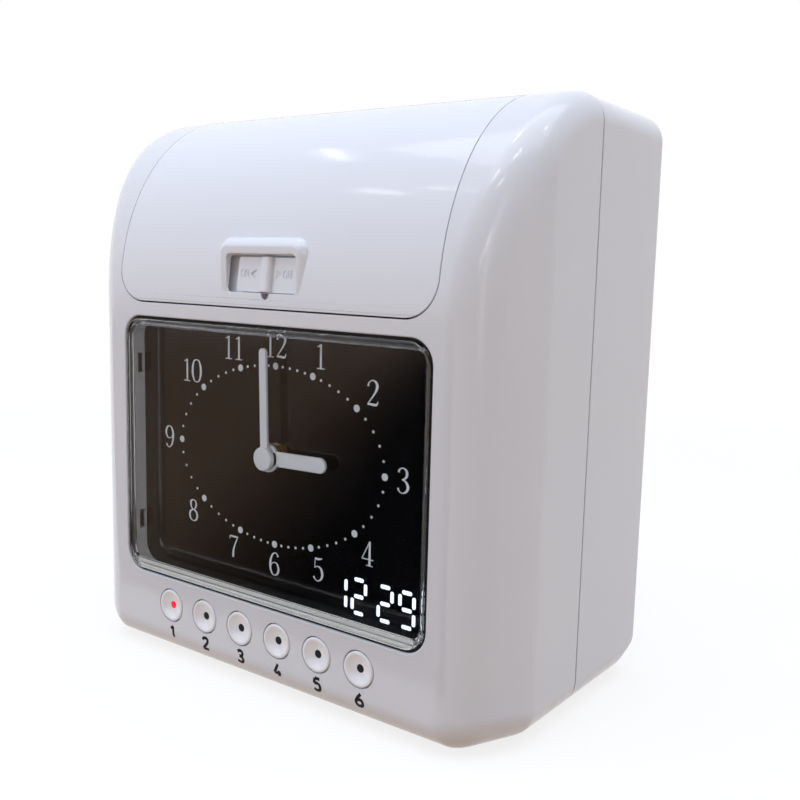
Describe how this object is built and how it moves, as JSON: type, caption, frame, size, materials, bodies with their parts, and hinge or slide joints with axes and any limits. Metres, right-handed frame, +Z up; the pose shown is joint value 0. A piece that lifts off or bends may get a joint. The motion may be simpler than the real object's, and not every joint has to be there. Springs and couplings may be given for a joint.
{
  "type": "time clock",
  "caption": "Upright time recorder with a clock dial behind a clear window, a row of shift buttons, a hinged top lid with a lock slide, a card slot in its top and a printing head inside.",
  "frame": {"origin": "middle of the footprint, on the table under the feet", "axes": "+Z up, front towards -Y, +X to the right seen from the front"},
  "size_m": [0.232, 0.1289, 0.2493],
  "materials": {
    "case_white": "satin moulded ABS, cool white",
    "lid_white": "satin moulded ABS, bluish white",
    "trim_grey": "moulded plastic, light grey",
    "lens_clear": "clear polished acrylic",
    "dial_black": "printed matt black sheet",
    "hand_grey": "painted light grey",
    "movement_dark": "moulded dark plastic",
    "brass": "turned brass",
    "steel": "plated steel",
    "gear_nylon": "natural nylon",
    "coil_copper": "enamelled copper wire",
    "display_dark": "dark display window with white segments",
    "button_white": "moulded off-white",
    "lamp_red": "lit red lens",
    "lamp_dark": "unlit dark lens",
    "board_green": "glass-fibre circuit board",
    "parts_dark": "moulded electronic parts",
    "rubber": "moulded rubber",
    "sheet_steel": "zinc-plated sheet",
    "head_metal": "die-cast",
    "ribbon": "inked woven ribbon",
    "core_dark": "varnished core and winding",
    "cell_wrap": "shrink wrap"
  },
  "bodies": {
    "root": {"front_case": "case_white", "rear_case": "case_white", "lid_hinge_pins": "steel", "window_lens": "lens_clear", "dial_frame": "trim_grey", "dial_screws": "steel", "dial_plate": "dial_black", "movement_case": "movement_dark", "movement_cover": "movement_dark", "movement_nut": "brass", "movement_coil": "coil_copper", "display_module": "display_dark", "button_lamp_lit": "lamp_red", "button_lamps_dark": "lamp_dark", "button_board": "board_green", "button_switches": "parts_dark", "rubber_feet": "rubber", "case_screws": "steel", "power_inlet": "parts_dark", "inlet_pins": "steel", "card_slot_bezel": "trim_grey", "card_guide_front": "trim_grey", "card_guide_rear": "trim_grey", "platen": "rubber", "chassis": "sheet_steel", "chassis_screws": "steel", "carriage_rail": "steel", "carriage_motor": "sheet_steel", "ribbon_cassette": "parts_dark", "ribbon_band": "ribbon", "feed_motor": "sheet_steel", "motor_bracket": "sheet_steel", "main_board": "board_green", "board_parts": "parts_dark", "transformer": "core_dark", "backup_battery": "cell_wrap"},
    "lid": {"top_lid": "lid_white"},
    "slide": {"lock_slide": "trim_grey"},
    "button_1": {"button_1": "button_white"},
    "button_2": {"button_2": "button_white"},
    "button_3": {"button_3": "button_white"},
    "button_4": {"button_4": "button_white"},
    "button_5": {"button_5": "button_white"},
    "button_6": {"button_6": "button_white"},
    "minute": {"minute_hand": "hand_grey", "minute_arbor": "steel"},
    "hour": {"hour_hand": "hand_grey", "hour_wheel": "gear_nylon"},
    "motion": {"motion_wheel": "gear_nylon"},
    "carriage": {"print_carriage": "movement_dark", "print_head": "head_metal"},
    "lead": {"lead_screw": "steel", "screw_gear": "gear_nylon"},
    "carriage_drive": {"carriage_pinion": "brass"},
    "knob": {"ribbon_knob": "button_white"},
    "feed": {"feed_shaft": "steel", "feed_rollers": "rubber", "feed_gear": "gear_nylon"},
    "feed_drive": {"feed_pinion": "brass"},
    "pinch": {"pinch_rollers": "rubber"}
  },
  "joints": [
    {"name": "lid_hinge", "type": "hinge", "parent": "root", "child": "lid", "pos_m": [0, -0.00688, 0.24118], "axis": [-1, 0, 0], "range_deg": [0, 75]},
    {"name": "lock_travel", "type": "slide", "parent": "lid", "child": "slide", "axis": [1, 0, 0], "range_m": [-0.0074, 0]},
    {"name": "button_1_press", "type": "slide", "parent": "root", "child": "button_1", "axis": [0, 1, 0], "range_m": [0, 0.0015], "stiffness_N_per_m": 400},
    {"name": "button_2_press", "type": "slide", "parent": "root", "child": "button_2", "axis": [0, 1, 0], "range_m": [0, 0.0015], "stiffness_N_per_m": 400},
    {"name": "button_3_press", "type": "slide", "parent": "root", "child": "button_3", "axis": [0, 1, 0], "range_m": [0, 0.0015], "stiffness_N_per_m": 400},
    {"name": "button_4_press", "type": "slide", "parent": "root", "child": "button_4", "axis": [0, 1, 0], "range_m": [0, 0.0015], "stiffness_N_per_m": 400},
    {"name": "button_5_press", "type": "slide", "parent": "root", "child": "button_5", "axis": [0, 1, 0], "range_m": [0, 0.0015], "stiffness_N_per_m": 400},
    {"name": "button_6_press", "type": "slide", "parent": "root", "child": "button_6", "axis": [0, 1, 0], "range_m": [0, 0.0015], "stiffness_N_per_m": 400},
    {"name": "minute_turn", "type": "hinge", "parent": "root", "child": "minute", "pos_m": [0, -0.05695, 0.1005], "axis": [0, 1, 0], "continuous": true},
    {"name": "motion_turn", "type": "hinge", "parent": "root", "child": "motion", "pos_m": [0, -0.05695, 0.0885], "axis": [0, 1, 0], "continuous": true},
    {"name": "hour_turn", "type": "hinge", "parent": "root", "child": "hour", "pos_m": [0, -0.05695, 0.1005], "axis": [0, 1, 0], "continuous": true},
    {"name": "carriage_travel", "type": "slide", "parent": "root", "child": "carriage", "axis": [1, 0, 0], "range_m": [-0.026, 0.026]},
    {"name": "lead_turn", "type": "hinge", "parent": "root", "child": "lead", "pos_m": [0, -0.014, 0.205], "axis": [1, 0, 0], "range_deg": [-1175, 1175]},
    {"name": "carriage_drive_turn", "type": "hinge", "parent": "root", "child": "carriage_drive", "pos_m": [0.07, -0.02551, 0.19987], "axis": [1, 0, 0], "range_deg": [-2935, 2935]},
    {"name": "knob_turn", "type": "hinge", "parent": "root", "child": "knob", "pos_m": [0.04, -0.0195, 0.228], "axis": [0, 0, 1], "continuous": true},
    {"name": "feed_turn", "type": "hinge", "parent": "root", "child": "feed", "pos_m": [0, 0.0192, 0.121], "axis": [1, 0, 0], "continuous": true},
    {"name": "feed_drive_turn", "type": "hinge", "parent": "root", "child": "feed_drive", "pos_m": [0.06, 0.0348, 0.121], "axis": [1, 0, 0], "continuous": true},
    {"name": "pinch_turn", "type": "hinge", "parent": "root", "child": "pinch", "pos_m": [0, 0.0068, 0.121], "axis": [1, 0, 0], "continuous": true}
  ],
  "couplings": [
    {"joint": "hour_turn", "follows": "minute_turn", "ratio": 0.083333},
    {"joint": "motion_turn", "follows": "minute_turn", "ratio": -0.33333},
    {"joint": "lead_turn", "follows": "carriage_travel", "rad_per_m": 785.4},
    {"joint": "carriage_drive_turn", "follows": "carriage_travel", "rad_per_m": -1963.5},
    {"joint": "feed_drive_turn", "follows": "feed_turn", "ratio": -3.3333},
    {"joint": "pinch_turn", "follows": "feed_turn", "ratio": -1.4}
  ]
}
